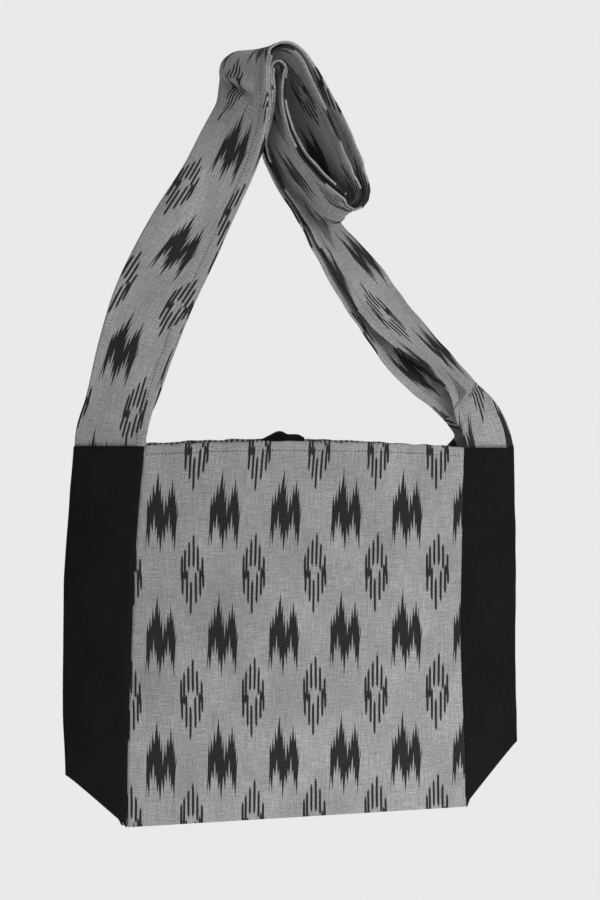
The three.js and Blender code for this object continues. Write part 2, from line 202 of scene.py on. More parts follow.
# Dark flame, charted: the height of its upper spikes and the depth of its lower ones, across it
FLAME_TOPS = [
    (-16.5, -45), (-15.6, -34), (-14.9, -14), (-14.6, 4), (-13.8, 16), (-12.6, 4), (-11.2, 20), (-9.8, 8),
    (-8.3, 30), (-6.8, 16), (-3.9, 43), (-2.6, 20), (-1.4, 31), (-0.5, 7), (0.7, 21), (1.8, -5),
    (3.5, 17), (4.8, 4), (6.7, 26), (7.8, 14), (9.6, 34), (10.8, 14), (11.9, 25), (12.7, 5),
    (13.4, 14), (14.1, -6), (15.1, 7), (15.9, -14), (16.6, -45),
]
FLAME_BOTTOMS = [
    (-16.5, -20), (-15.6, -39), (-14.0, -20), (-12.6, -37), (-10.7, -11), (-9.1, -21), (-7.5, -1),
    (-6.5, -22), (-5.2, -13), (-4.2, -32), (-2.7, -22), (-1.4, -43), (0.8, -17.5), (2.4, -32),
    (3.8, -11.5), (5.4, -22), (7.0, 0), (7.9, -22), (9.1, -12.5), (10.1, -32), (11.4, -23),
    (12.8, -42), (13.8, -20), (14.5, -8), (15.3, -2), (16.0, 4), (16.6, 30),
]

# Hollow diamond: upper and lower streaks, each with its place across, top and bottom
UPPER_STREAKS = [
    (-10.4, 20, -8), (-7.5, 27, -7), (-3.3, 34, 5.5), (1.1, 40.7, 6), (5.3, 29.8, 1.8), (9.7, 18.5, -6),
]
LOWER_STREAKS = [
    (-9.7, 6, -21), (-5.4, 5, -30), (-1.5, -6, -41), (3.3, 2.7, -30), (7.5, 8, -22.4), (10.4, 4, -14),
]
STREAK_HALF = 1.35
STREAK_EDGE = 0.01
STREAK_SHOULDER = 0.25
STREAK_APART = 0.02
STREAK_TAPER = {"top": 4, "bottom": 3}
UNDYED = {"top": -40, "bottom": 40}


def lerp(a, b, t):
    return a + (b - a) * t


def smoothstep(t):
    t = np.clip(t, 0, 1)
    return t * t * (3 - 2 * t)


def hump(t):
    """0 at both ends and 1 in the middle."""
    return 4 * t * (1 - t)


def column(columns, rows, key):
    return np.array([row[columns.index(key)] for row in rows], dtype=float)


def reader(places, values):
    """Smooth values read at any place along a table's column."""
    steps = np.arange(len(places))
    before = np.maximum(steps - 1, 0)
    after = np.minimum(steps + 1, len(places) - 1)
    slopes = (values[after] - values[before]) / (places[after] - places[before])

    def read(at):
        at = np.asarray(at, dtype=float)
        i = np.clip(np.searchsorted(places, at) - 1, 0, len(places) - 2)
        span = places[i + 1] - places[i]
        t = (at - places[i]) / span
        s = 1 - t
        ends = values[i] * (1 + 2 * t) * s * s + values[i + 1] * (1 + 2 * s) * t * t
        return ends + span * (slopes[i] * t * s * s - slopes[i + 1] * s * t * t)

    return read


NOISE_WAVES = 9
NOISE_PACE = (0.6, 1.5)


def soft_noise(a, b, seed):
    """Smooth wandering noise with a wavelength of about one unit."""
    rng = np.random.default_rng(seed)
    total = np.zeros(np.broadcast(a, b).shape)
    for _ in range(NOISE_WAVES):
        angle = rng.uniform(0, 2 * math.pi)
        pace = rng.uniform(*NOISE_PACE) * 2 * math.pi
        phase = rng.uniform(0, 2 * math.pi)
        total = total + np.sin(pace * (a * math.cos(angle) + b * math.sin(angle)) + phase)
    return total / math.sqrt(NOISE_WAVES)


def points(x, y, z):
    return np.stack(np.broadcast_arrays(x, y, z), axis=-1).astype(float)


TINY = 1e-9


def unit(v):
    return v / np.maximum(np.linalg.norm(v, axis=-1, keepdims=True), TINY)


def lengths(path):
    """The length along a path at each of its points."""
    return np.concatenate([[0], np.cumsum(np.linalg.norm(np.diff(path, axis=0), axis=1))])


def grid_normals(grid):
    return unit(np.cross(np.gradient(grid, axis=1), np.gradient(grid, axis=0)))


def add_mesh(name, vertices, faces, uv, material):
    """A smooth piece from points in millimetres, each with its place on the cloth."""
    mesh = bpy.data.meshes.new(name)
    mesh.from_pydata((np.asarray(vertices) * MM).tolist(), [], faces)
    layer = mesh.uv_layers.new(name="Cloth")
    corner = np.empty(len(mesh.loops), dtype=np.int32)
    mesh.loops.foreach_get("vertex_index", corner)
    layer.data.foreach_set("uv", np.asarray(uv, dtype=np.float32)[corner].ravel())
    mesh.polygons.foreach_set("use_smooth", np.ones(len(mesh.polygons), dtype=bool))
    mesh.materials.append(material)
    mesh.update()
    piece = bpy.data.objects.new(name, mesh)
    bpy.context.scene.collection.objects.link(piece)
    return piece


# How far a cloth's edge is rounded, as a share of its thickness
NOSE = 0.35


def cloth_shell(name, grid, thickness, uv, material, lean=None):
    """A closed sheet of cloth around a grid of middle points, with rounded edges.

    A cell that leans 1 or -1 is folded from one corner to the other, and the rest stay whole.
    """
    rows, cols = grid.shape[:2]
    offset = grid_normals(grid) * thickness[..., None] / 2
    inward = np.zeros_like(grid)
    inward[0] += unit(grid[1] - grid[0])
    inward[-1] += unit(grid[-2] - grid[-1])
    inward[:, 0] += unit(grid[:, 1] - grid[:, 0])
    inward[:, -1] += unit(grid[:, -2] - grid[:, -1])
    edge = [(0, j) for j in range(cols)]
    edge += [(i, cols - 1) for i in range(1, rows)]
    edge += [(rows - 1, j) for j in range(cols - 2, -1, -1)]
    edge += [(i, 0) for i in range(rows - 2, 0, -1)]
    ring = np.array([i * cols + j for i, j in edge])
    nose = (grid - inward * thickness[..., None] * NOSE).reshape(-1, 3)[ring]
    flat_uv = uv.reshape(-1, 2)
    count = rows * cols
    vertices = np.concatenate([(grid + offset).reshape(-1, 3), (grid - offset).reshape(-1, 3), nose])
    i, j = np.meshgrid(np.arange(rows - 1), np.arange(cols - 1), indexing="ij")
    a = (i * cols + j).ravel()
    lean = np.zeros(len(a)) if lean is None else lean.ravel()
    corners = (a, a + 1, a + cols + 1, a + cols)
    pick = lambda which, *order: np.stack([corners[k][which] for k in order], axis=1)
    sheets = [
        pick(lean == 0, 0, 1, 2, 3),
        pick(lean > 0, 0, 1, 3),
        pick(lean > 0, 1, 2, 3),
        pick(lean < 0, 0, 1, 2),
        pick(lean < 0, 0, 2, 3),
    ]
    this, following = ring, np.roll(ring, -1)
    tip = 2 * count + np.arange(len(ring))
    next_tip = np.roll(tip, -1)
    faces = np.stack([following, this, tip, next_tip], axis=1).tolist()
    faces += np.stack([next_tip, tip, this + count, following + count], axis=1).tolist()
    for cells in sheets:
        faces += cells.tolist() + (cells[:, ::-1] + count).tolist()
    return add_mesh(name, vertices, faces, np.concatenate([flat_uv, flat_uv, flat_uv[ring]]), material)


# Threads: a stitch's shoulders and lift are shares of its length and height
STITCH_PITCH = 3.6
STITCH_LENGTH = 2.8
STITCH_SHOULDER = 0.3
STITCH_LIFT = 0.3
STITCH_ABOVE = 0.8
STITCH_CLEAR = 0.3
STITCH_SIDES = 4
STITCH_TANGENT = 1
THREAD = 0.4
OVERCAST_PITCH = 5.5
OVERCAST_LENGTH = 3.8
OVERCAST_THREAD = 1.9
OVERCAST_RISE = 0.9


def along_path(path, normal, pitch):
    """Evenly spaced places on a path, with the path's and the cloth's directions there."""
    place = lengths(path)
    middles = np.arange(pitch, place[-1] - pitch, pitch)
    read = lambda at, table: np.stack([np.interp(at, place, table[:, k]) for k in range(3)], axis=1)
    ahead, behind = middles + STITCH_TANGENT, middles - STITCH_TANGENT
    along = unit(read(ahead, path) - read(behind, path))
    return zip(read(middles, path), along, unit(read(middles, normal)))


def topstitch(path, normal):
    """Running stitches along a path."""
    places = along_path(path, normal, STITCH_PITCH)
    return [(centre, along, up, STITCH_LENGTH, THREAD, THREAD) for centre, along, up in places]


def overcast(path, normal):
    """Thick short stitches across a path."""
    places = along_path(path, normal, OVERCAST_PITCH)
    return [
        (centre, np.cross(along, up), up, OVERCAST_LENGTH, OVERCAST_THREAD, THREAD)
        for centre, along, up in places
    ]


def stitches(name, marks, material):
    """Threads on the cloth: each has its middle, its direction, the cloth's outward way and its size."""
    vertices = []
    faces = []
    for centre, along, up, length, wide, high in marks:
        side = np.cross(along, up)
        near_tip = len(vertices)
        far_tip = near_tip + 1 + 2 * STITCH_SIDES
        vertices.append(centre - along * length / 2 - up * high)
        for shift in (-STITCH_SHOULDER, STITCH_SHOULDER):
            for turn in range(STITCH_SIDES):
                angle = (turn + 0.5) * 2 * math.pi / STITCH_SIDES
                out = up * math.sin(angle) * high + side * math.cos(angle) * wide
                vertices.append(centre + along * length * shift + out + up * high * STITCH_LIFT)
        vertices.append(centre + along * length / 2 - up * high)
        for turn in range(STITCH_SIDES):
            p, q = near_tip + 1 + turn, near_tip + 1 + (turn + 1) % STITCH_SIDES
            faces.append([near_tip, q, p])
            faces.append([p, q, q + STITCH_SIDES, p + STITCH_SIDES])
            faces.append([far_tip, p + STITCH_SIDES, q + STITCH_SIDES])
    return add_mesh(name, vertices, faces, np.zeros((len(vertices), 2)), material)


class Shader:
    """Short names for building a procedural material."""

    def __init__(self, name):
        self.material = bpy.data.materials.new(name)
        self.material.use_nodes = True
        self.tree = self.material.node_tree
        self.tree.nodes.clear()
        self.output = self.node("ShaderNodeOutputMaterial")
        self.surface = self.node("ShaderNodeBsdfPrincipled")
        self.link(self.surface.outputs[0], self.output.inputs[0])

    def node(self, kind, **settings):
        made = self.tree.nodes.new(kind)
        for key, value in settings.items():
            setattr(made, key, value)
        return made

    def link(self, out, into):
        self.tree.links.new(out, into)

    def feed(self, socket, value):
        if isinstance(value, bpy.types.NodeSocket):
            self.link(value, socket)
        else:
            socket.default_value = value

    def math(self, operation, *values, clamp=False):
        made = self.node("ShaderNodeMath", operation=operation, use_clamp=clamp)
        for socket, value in zip(made.inputs, values):
            self.feed(socket, value)
        return made.outputs[0]

    def swing(self, value, reach):
        """A value from 0 to 1, made to swing over that reach around nought."""
        return self.math("MULTIPLY", self.math("SUBTRACT", value, 0.5), reach)

    def blend(self, values, shares):
        """The sum of named values, each times its share."""
        parts = [self.math("MULTIPLY", values[key], share) for key, share in shares.items()]
        total = parts[0]
        for part in parts[1:]:
            total = self.math("ADD", total, part)
        return total

    def combine(self, x, y):
        made = self.node("ShaderNodeCombineXYZ")
        self.feed(made.inputs[0], x)
        self.feed(made.inputs[1], y)
        return made.outputs[0]

    def noise(self, x, y, across, along, detail):
        """Noise with blotches of that size in millimetres, from 0 to 1 around a half."""
        made = self.node("ShaderNodeTexNoise", noise_dimensions="2D")
        vector = self.combine(self.math("DIVIDE", x, across), self.math("DIVIDE", y, along))
        self.link(vector, made.inputs["Vector"])
        made.inputs["Scale"].default_value = 1.0
        made.inputs["Detail"].default_value = detail
        return made.outputs["Fac"]

    def ramp(self, fac, stops):
        made = self.node("ShaderNodeValToRGB")
        made.color_ramp.interpolation = "LINEAR"
        elements = made.color_ramp.elements
        while len(elements) < len(stops):
            elements.new(0.5)
        for element, (place, _) in zip(elements, stops):
            element.position = place
        for element, (_, colour) in zip(elements, stops):
            element.color = colour
        self.link(fac, made.inputs[0])
        return made.outputs["Color"]

    def mix(self, fac, a, b):
        made = self.node("ShaderNodeMix", data_type="RGBA")
        self.feed(made.inputs["Factor"], fac)
        self.feed(made.inputs["A"], a)
        self.feed(made.inputs["B"], b)
        return made.outputs["Result"]

    def cloth_place(self):
        """Places across and along the cloth in millimetres."""
        place = self.node("ShaderNodeUVMap", uv_map="Cloth")
        split = self.node("ShaderNodeSeparateXYZ")
        self.link(place.outputs[0], split.inputs[0])
        return split.outputs[0], split.outputs[1]

    def matte(self, roughness, specular, sheen):
        self.surface.inputs["Roughness"].default_value = roughness
        self.surface.inputs["Specular IOR Level"].default_value = specular
        self.surface.inputs["Sheen Weight"].default_value = sheen

    def bump(self, height, distance, strength):
        made = self.node("ShaderNodeBump")
        made.inputs["Strength"].default_value = strength
        made.inputs["Distance"].default_value = distance
        self.link(height, made.inputs["Height"])
        self.link(made.outputs[0], self.surface.inputs["Normal"])


CHART_HALF = 18.0
CHART_TALL = 50.0


def chart_stop(across, top, bottom):
    code = lambda height: height / (2 * CHART_TALL) + 0.5
    return (across / (2 * CHART_HALF) + 0.5, (code(top), code(bottom), 0, 1))


def charted(sh, across, stops):
    """The top and the bottom of a motif's dye at a place across it."""
    fac = sh.math("ADD", sh.math("DIVIDE", across, 2 * CHART_HALF), 0.5, clamp=True)
    split = sh.node("ShaderNodeSeparateColor")
    sh.link(sh.ramp(fac, stops), split.inputs[0])
    return [sh.swing(split.outputs[k], 2 * CHART_TALL) for k in (0, 1)]


def dyed(sh, along, top, bottom, soft):
    """How dark the dye is at a place along a motif, between its top and its bottom."""
    above = sh.math("DIVIDE", sh.math("SUBTRACT", top, along), soft)
    below = sh.math("DIVIDE", sh.math("SUBTRACT", along, bottom), soft)
    return sh.math("ADD", sh.math("MINIMUM", above, below), 0.5, clamp=True)


def streak_stops(streaks):
    """A chart of streaks with tapered tips and undyed cloth between them."""
    undyed = lambda across: chart_stop(across, UNDYED["top"], UNDYED["bottom"])
    places = [-CHART_HALF] + [across for across, _, _ in streaks] + [CHART_HALF]
    stops = [undyed(-CHART_HALF)]
    for index, (across, top, bottom) in enumerate(streaks):
        before, after = places[index], places[index + 2]
        left = max(across - STREAK_HALF, (across + before) / 2 + STREAK_APART)
        right = min(across + STREAK_HALF, (across + after) / 2 - STREAK_APART)
        tapered = (top - STREAK_TAPER["top"], bottom + STREAK_TAPER["bottom"])
        stops += [
            undyed(left - STREAK_EDGE),
            chart_stop(left + STREAK_SHOULDER, *tapered),
            chart_stop(across, top, bottom),
            chart_stop(right - STREAK_SHOULDER, *tapered),
            undyed(right + STREAK_EDGE),
        ]
    return stops


# Colours of the yarns and of the dye
GREY = (0.140, 0.140, 0.137, 1)
PALE_THREAD = (0.230, 0.230, 0.227, 1)
SHADE_THREAD = (0.098, 0.098, 0.096, 1)
DYE = (0.0068, 0.0075, 0.0078, 1)
BLACK_SHADE = (0.002, 0.002, 0.0022, 1)
BLACK_THREAD = (0.0048, 0.0048, 0.0054, 1)
STITCH_SHADE = (0.008, 0.008, 0.009, 1)
STITCH_THREAD = (0.03, 0.03, 0.031, 1)

# Noise in the dye and in the two weaves: size of a blotch across and along in millimetres, and its detail
DRIFT_NOISE = (30, 60, 2)
STRAY_NOISE = (18, 50, 2)
IKAT_WEAVE = {"warp": (0.9, 22, 3), "weft": (16, 0.9, 3), "fine": (1.3, 1.6, 1), "broad": (45, 70, 2)}
BLACK_WEAVE = {"warp": (0.8, 18, 3), "weft": (18, 0.8, 3), "broad": (40, 60, 2)}

# Shares of that noise in the tone of each cloth, and the level that is taken off their sum
IKAT_TONE = {"warp": 0.9, "weft": 0.9, "fine": 0.9, "broad": 0.5}
IKAT_LEVEL = 1.1
BLACK_TONE = {"warp": 0.8, "weft": 0.8, "broad": 0.8}
BLACK_LEVEL = 0.7

# Blotches along a metre of thread
THREAD_NOISE = 900

# The dye strays across and along from its chart and from yarn to yarn, and its edges are soft
DRIFT = 1.6
STRAY = 3.0
YARN = 0.5
YARN_STRAY = 2.2
FLAME_SOFT = 1.0
STREAK_SOFT = 1.4
DYE_COVER = 0.93
DYE_WEFT = 0.12

# Flames stand at whole cells of the repeat, and diamonds at half cells
FLAME_CELL = 100.5
DIAMOND_CELL = 100.0

# Pale lint: size of a fleck, how rare it is and how much it covers
LINT_SIZE = (0.9, 1.4)
LINT_RARE = 0.985
LINT_COVER = 0.55

WEAVE_RELIEF = 0.0004


def weave_tone(sh, x, y, sizes, shares, level):
    """The noise of a weave's yarns, and the tone from dark to pale that they make together."""
    weave = {key: sh.noise(x, y, *size) for key, size in sizes.items()}
    return weave, sh.math("SUBTRACT", sh.blend(weave, shares), level, clamp=True)


def ikat_cotton():
    """Heathered grey cotton with dark flames and hollow diamonds that were dyed in the yarn."""
    sh = Shader("ikat_cotton")
    x, y = sh.cloth_place()
    drift = sh.swing(sh.noise(x, y, *DRIFT_NOISE), DRIFT)
    stray = sh.swing(sh.noise(x, y, *STRAY_NOISE), STRAY)
    yarn = sh.node("ShaderNodeTexWhiteNoise", noise_dimensions="1D")
    sh.link(sh.math("FLOOR", sh.math("DIVIDE", x, YARN)), yarn.inputs["W"])
    jitter = sh.swing(yarn.outputs["Value"], YARN_STRAY)
    px = sh.math("ADD", x, drift)
    py = sh.math("ADD", y, sh.math("ADD", stray, jitter))

    def in_repeat(place, size, start):
        """A place within its repeat, from minus to plus half of the repeat's size."""
        cell = sh.math("ADD", sh.math("DIVIDE", place, size), start)
        return sh.swing(sh.math("FRACT", cell), size)

    across = in_repeat(px, REPEAT_X, FLAME_CELL)
    along = in_repeat(py, REPEAT_Y, FLAME_CELL)
    top, _ = charted(sh, across, [chart_stop(place, height, 0) for place, height in FLAME_TOPS])
    _, bottom = charted(sh, across, [chart_stop(place, 0, height) for place, height in FLAME_BOTTOMS])
    dye = dyed(sh, along, top, bottom, FLAME_SOFT)
    across = in_repeat(px, REPEAT_X, DIAMOND_CELL)
    along = in_repeat(sh.math("SUBTRACT", py, DIAMOND_DROP), REPEAT_Y, DIAMOND_CELL)
    for streaks in (UPPER_STREAKS, LOWER_STREAKS):
        top, bottom = charted(sh, across, streak_stops(streaks))
        dye = sh.math("MAXIMUM", dye, dyed(sh, along, top, bottom, STREAK_SOFT))
    weave, tone = weave_tone(sh, x, y, IKAT_WEAVE, IKAT_TONE, IKAT_LEVEL)
    heather = sh.mix(tone, SHADE_THREAD, sh.mix(tone, GREY, PALE_THREAD))
    fleck = sh.node("ShaderNodeTexWhiteNoise", noise_dimensions="2D")
    spot = [sh.math("FLOOR", sh.math("DIVIDE", place, size)) for place, size in zip((x, y), LINT_SIZE)]
    sh.link(sh.combine(*spot), fleck.inputs["Vector"])
    lint = sh.math("MULTIPLY", sh.math("GREATER_THAN", fleck.outputs["Value"], LINT_RARE), LINT_COVER)
    ground = sh.mix(lint, heather, PALE_THREAD)
    cover = sh.math("ADD", DYE_COVER, sh.math("MULTIPLY", weave["weft"], DYE_WEFT))
    cover = sh.math("MULTIPLY", dye, cover, clamp=True)
    sh.link(sh.mix(cover, ground, DYE), sh.surface.inputs["Base Color"])
    sh.matte(roughness=0.93, specular=0.12, sheen=0.03)
    sh.bump(sh.math("ADD", weave["warp"], weave["weft"]), distance=WEAVE_RELIEF, strength=0.35)
    return sh.material


def black_cotton():
    """Plain black cotton with a faint weave."""
    sh = Shader("black_cotton")
    x, y = sh.cloth_place()
    weave, tone = weave_tone(sh, x, y, BLACK_WEAVE, BLACK_TONE, BLACK_LEVEL)
    sh.link(sh.mix(tone, BLACK_SHADE, BLACK_THREAD), sh.surface.inputs["Base Color"])
    sh.matte(roughness=0.95, specular=0.07, sheen=0.01)
    sh.bump(sh.math("ADD", weave["warp"], weave["weft"]), distance=WEAVE_RELIEF, strength=0.4)
    return sh.material


def dark_thread():
    """Nearly black sewing thread."""
    sh = Shader("dark_thread")
    spot = sh.node("ShaderNodeTexCoord")
    made = sh.node("ShaderNodeTexNoise")
    sh.link(spot.outputs["Object"], made.inputs["Vector"])
    made.inputs["Scale"].default_value = THREAD_NOISE
    colour = sh.mix(made.outputs["Fac"], STITCH_SHADE, STITCH_THREAD)
    sh.link(colour, sh.surface.inputs["Base Color"])
    sh.surface.inputs["Roughness"].default_value = 0.8
    return sh.material


ikat = ikat_cotton()
black = black_cotton()
thread = dark_thread()

falls = column(BODY_COLUMNS, BODY, "fall")
body = {key: reader(falls, column(BODY_COLUMNS, BODY, key)) for key in BODY_COLUMNS[1:]}


BULGE_POWER = 0.8
CORNER_POWER = 8


def back_seam(side, fall):
    """Where the back panel meets a gusset: the rest of the gusset's width reaches there from its fold."""
    seam, fold, half = body["seam_" + side](fall), body["fold_" + side](fall), body["half"](fall)
    wing = GUSSET_WIDTH - np.hypot(fold - seam, half)
    return fold + np.sign(seam - fold) * np.sqrt(wing ** 2 - half ** 2)


def wall_height(u, fall, rise):
    """Height on a panel, between the arch of its mouth and its slanting base."""
    top = lerp(MOUTH["left"], MOUTH["right"], u) + (MOUTH["arch"] + rise) * hump(u)
    return lerp(top, lerp(BASE["left"], BASE["right"], u), fall)


def bulge(u):
    """The belly's share across a panel, from nothing at its seams to all in the middle."""
    return np.sin(math.pi * np.clip(u, 0, 1)) ** BULGE_POWER


def side_set(fall):
    """How far a panel is set in from its seams, more so at the lower corners."""
    return SEAM_SET + CORNER_SET * fall ** CORNER_POWER


PANEL_COLUMNS = 110
PANEL_ROWS = 124
HEM_ROWS = 9
HEM_REACH = 1.6
HEM_STEP = 1.2

# Soft folds and puckers of a panel: depth, size across and down, and how they fade from an edge
BROAD_FOLD = {"depth": 0.9, "wide": 120, "tall": 170}
NARROW_FOLD = {"depth": 0.5, "wide": 45, "tall": 110}
FOLD_CALM = {"side": 30, "base": 40}
SEAM_PUCKER = {"depth": 0.55, "wide": 400, "tall": 13, "fade": 9, "rim": 2.5}
HEM_PUCKER = {"depth": 0.35, "wide": 10, "tall": 200, "fade": 9, "rim": 8}
HEM_WAVE = {"depth": 0.55, "wide": 26, "fade": 8, "rim": 12}
STITCH_DIP = {"depth": 0.7, "wide": 1.1, "rim": 4}

# The pattern on a panel: the share of the mouth's arch that it follows, its rise at the base on the left and
# on the right, and its shift to the right at the hem, greatest a third of the way across
ARCH_SHARE = 0.2
BASE_RISE = {"left": -2, "right": 13}
HEM_SKEW = 7.5
HEM_SKEW_FADE = 61
SKEW_PEAK = 4 / 27


def panel(name, front, seed):
    """A front or back panel with its turned hem, soft hanging folds and puckers along its seams."""
    tall = MOUTH["left"] - BASE["left"]
    hem = HEM_REACH * HEM_DEPTH / tall
    rise = 0 if front else MOUTH["back_rise"]
    fall = np.concatenate([
        np.linspace(0, hem, HEM_ROWS + 1)[:-1],
        np.linspace(hem, 1, PANEL_ROWS - HEM_ROWS),
    ])
    u, fall = np.meshgrid(np.linspace(0, 1, PANEL_COLUMNS), fall)
    if front:
        left, right = body["seam_left"](fall), body["seam_right"](fall)
    else:
        left, right = back_seam("left", fall), back_seam("right", fall)
    x = lerp(left + side_set(fall), right - side_set(fall), u)
    z = wall_height(u, fall, rise)
    depth = body["half"](fall) + body["belly"](fall) * bulge(u)
    below = fall * tall
    side = np.minimum(u, 1 - u) * (right - left)
    near = lambda away, fold: np.exp(-away / fold["fade"]) * smoothstep(side / fold["rim"])
    calm = smoothstep(side / FOLD_CALM["side"]) * smoothstep((1 - fall) * tall / FOLD_CALM["base"])
    folds = [
        (BROAD_FOLD, calm),
        (NARROW_FOLD, calm),
        (SEAM_PUCKER, near(side, SEAM_PUCKER)),
        (HEM_PUCKER, near(np.abs(below - HEM_DEPTH), HEM_PUCKER)),
    ]
    for turn, (fold, share) in enumerate(folds):
        depth = depth + share * fold["depth"] * soft_noise(x / fold["wide"], z / fold["tall"], seed + turn)
    wave = HEM_WAVE["depth"] * soft_noise(x / HEM_WAVE["wide"], z * 0, seed + len(folds))
    z = z + near(below, HEM_WAVE) * wave
    grid = points(x, -depth if front else depth, z)
    stitch_line = HEM_DEPTH - STITCH_ABOVE
    dip = np.exp(-((below - stitch_line) / STITCH_DIP["wide"]) ** 2) * smoothstep(side / STITCH_DIP["rim"])
    thickness = lerp(HEM_CLOTH, PANEL_CLOTH, smoothstep((below - HEM_DEPTH) / HEM_STEP))
    thickness = thickness - STITCH_DIP["depth"] * dip
    arch = ARCH_SHARE * (MOUTH["arch"] + rise) * hump(u) * (1 - fall)
    tilt = lerp(BASE_RISE["left"], BASE_RISE["right"], u) * fall
    skew = HEM_SKEW * u * (1 - u) ** 2 / SKEW_PEAK * np.exp(-below / HEM_SKEW_FADE)
    uv = np.stack([x - skew - FRONT_MOTIF[0], z - arch - tilt - FRONT_MOTIF[1]], axis=-1)
    if not front:
        grid, thickness, uv = grid[:, ::-1], thickness[:, ::-1], uv[:, ::-1]
    grid, thickness, uv = grid[::-1], thickness[::-1], uv[::-1]
    piece = cloth_shell(name, grid, thickness, uv, ikat)
    row = int(np.argmin(np.abs(below[::-1, 0] - stitch_line)))
    normal = grid_normals(grid)[row]
    middle = grid[row]
    half = thickness[row][:, None] / 2
    marks = topstitch(middle + normal * half, normal) + topstitch(middle - normal * half, -normal)
    if not front:
        edge = int(np.argmin(np.abs(below[::-1, 0] - OVERCAST_LENGTH / 2)))
        inside = -grid_normals(grid)[edge]
        over = np.array([0, 0, OVERCAST_RISE])
        marks += overcast(grid[edge] + inside * thickness[edge][:, None] / 2 + over, inside)
    return piece, marks


front_cloth, front_marks = panel("front_panel_cloth", True, 11)
back_cloth, back_marks = panel("back_panel_cloth", False, 31)


def tuck_end(side, depth):
    """An end of the ridge along the tucked-up base, on its front (-1) or back (1) slope."""
    seam = float(body["seam_" + side](1))
    ridge = lerp(seam, float(back_seam(side, 1)), TUCK_RIDGE)
    return np.array([ridge, depth * FOLD_BLUNT, BASE[side] + TUCK_RISE])


FOLD_CROWD = 1.6
SOFTENING = 2


def crowded(count):
    """Shares from 0 to 1 that crowd towards the far end."""
    return 1 - (1 - np.linspace(0, 1, count)) ** FOLD_CROWD


def soften(grid, times):
    """Rounds pressed folds that run down a grid, and keeps its edges."""
    for _ in range(times):
        grid[:, 1:-1] = 0.5 * grid[:, 1:-1] + 0.25 * (grid[:, :-2] + grid[:, 2:])
    return grid


WING_COLUMNS = 19
WING = crowded(WING_COLUMNS)
GUSSET_ROWS = 60
GUSSET_EASE = 3
# Soft swell and ripple of a gusset, and how they calm down towards its edges
GUSSET_CALM = {"edge": 14, "mouth": 20, "run": 379, "tuck": 50}
GUSSET_SWELL = {"depth": 0.7, "fullness": 0.5, "wide": 60, "tall": 110, "fold": 14}
GUSSET_RIPPLE = {"depth": 0.6, "tall": 34, "reach": 16}


def gusset(name, side, seed):
    """A black side: two wings to a blunt outer fold, and a corner tucked up below."""
    start = TUCK_START[side]
    height = lambda fall: lerp(MOUTH[side], BASE[side], fall)
    fold = body["fold_" + side]
    edges = [(body["seam_" + side], -1), (lambda fall: back_seam(side, fall), 1)]

    def seam_at(wing, fall):
        edge, depth = edges[wing]
        return np.array([float(edge(fall)), depth * float(body["half"](fall)), height(fall)])

    def crease_at(wing, fall):
        return np.array([float(fold(fall)), edges[wing][1] * FOLD_BLUNT, height(fall)])

    def upper(wing, fall, reach):
        fullness = hump(reach) * min(1, (start - fall) / start * GUSSET_EASE)
        swell = np.array([0, edges[wing][1] * GUSSET_BELLY * fullness, 0])
        return lerp(seam_at(wing, fall), crease_at(wing, fall), reach) + swell

    def lower(wing, up, reach):
        foot, level = seam_at(wing, 1), seam_at(wing, start)
        corner, tuck = crease_at(wing, start), tuck_end(side, edges[wing][1])
        if up >= reach:
            return lerp(foot, level, up) + (corner - level) * reach
        return lerp(foot, tuck, reach) + (corner - tuck) * up

    def across(place):
        return [place(0, r) for r in WING] + [place(1, r) for r in WING[::-1]]

    upper_falls = np.linspace(0, start, GUSSET_ROWS + 1)[:-1]
    rows = [across(lambda wing, reach, f=fall: upper(wing, f, reach)) for fall in upper_falls]
    rows += [across(lambda wing, reach, k=up: lower(wing, k, reach)) for up in WING[::-1]]
    grid = soften(np.array(rows), SOFTENING)
    width = lengths(grid[0])
    w, s = np.meshgrid(width, lengths(grid[:, 0]))
    middle = width[-1] / 2
    from_fold = np.abs(w - middle)
    edge = np.minimum(w, width[-1] - w)
    calm = smoothstep(edge / GUSSET_CALM["edge"]) * smoothstep(s / GUSSET_CALM["mouth"])
    calm = calm * smoothstep((start * GUSSET_CALM["run"] - s) / GUSSET_CALM["tuck"])
    outward = np.where(w < middle, -1.0, 1.0) * smoothstep(from_fold / GUSSET_SWELL["fold"])
    swell = GUSSET_SWELL["depth"] * soft_noise(w / GUSSET_SWELL["wide"], s / GUSSET_SWELL["tall"], seed)
    grid[..., 1] += outward * calm * (swell + GUSSET_SWELL["fullness"])
    ripple = GUSSET_RIPPLE["depth"] * soft_noise(w * 0, s / GUSSET_RIPPLE["tall"], seed + 1)
    grid[..., 0] += smoothstep(1 - from_fold / GUSSET_RIPPLE["reach"]) * calm * ripple
    uv = np.stack([w, -s], axis=-1)
    lean = np.zeros((len(rows) - 1, w.shape[1] - 1))
    lean[len(upper_falls):, :len(WING) - 1] = 1
    lean[len(upper_falls):, -len(WING) + 1:] = -1
    if side == "right":
        grid, uv, lean = grid[:, ::-1], uv[:, ::-1], -lean[:, ::-1]
    thickness = np.full(w.shape, PANEL_CLOTH)
    return cloth_shell(name, grid, thickness, uv, black, lean)


left_cloth = gusset("gusset_left_cloth", "left", 51)
right_cloth = gusset("gusset_right_cloth", "right", 71)


TUCK_COLUMNS = 13
TUCK_SHARES = crowded(TUCK_COLUMNS)
TUCK_ROWS = 70
TUCK_MOTIF = 30


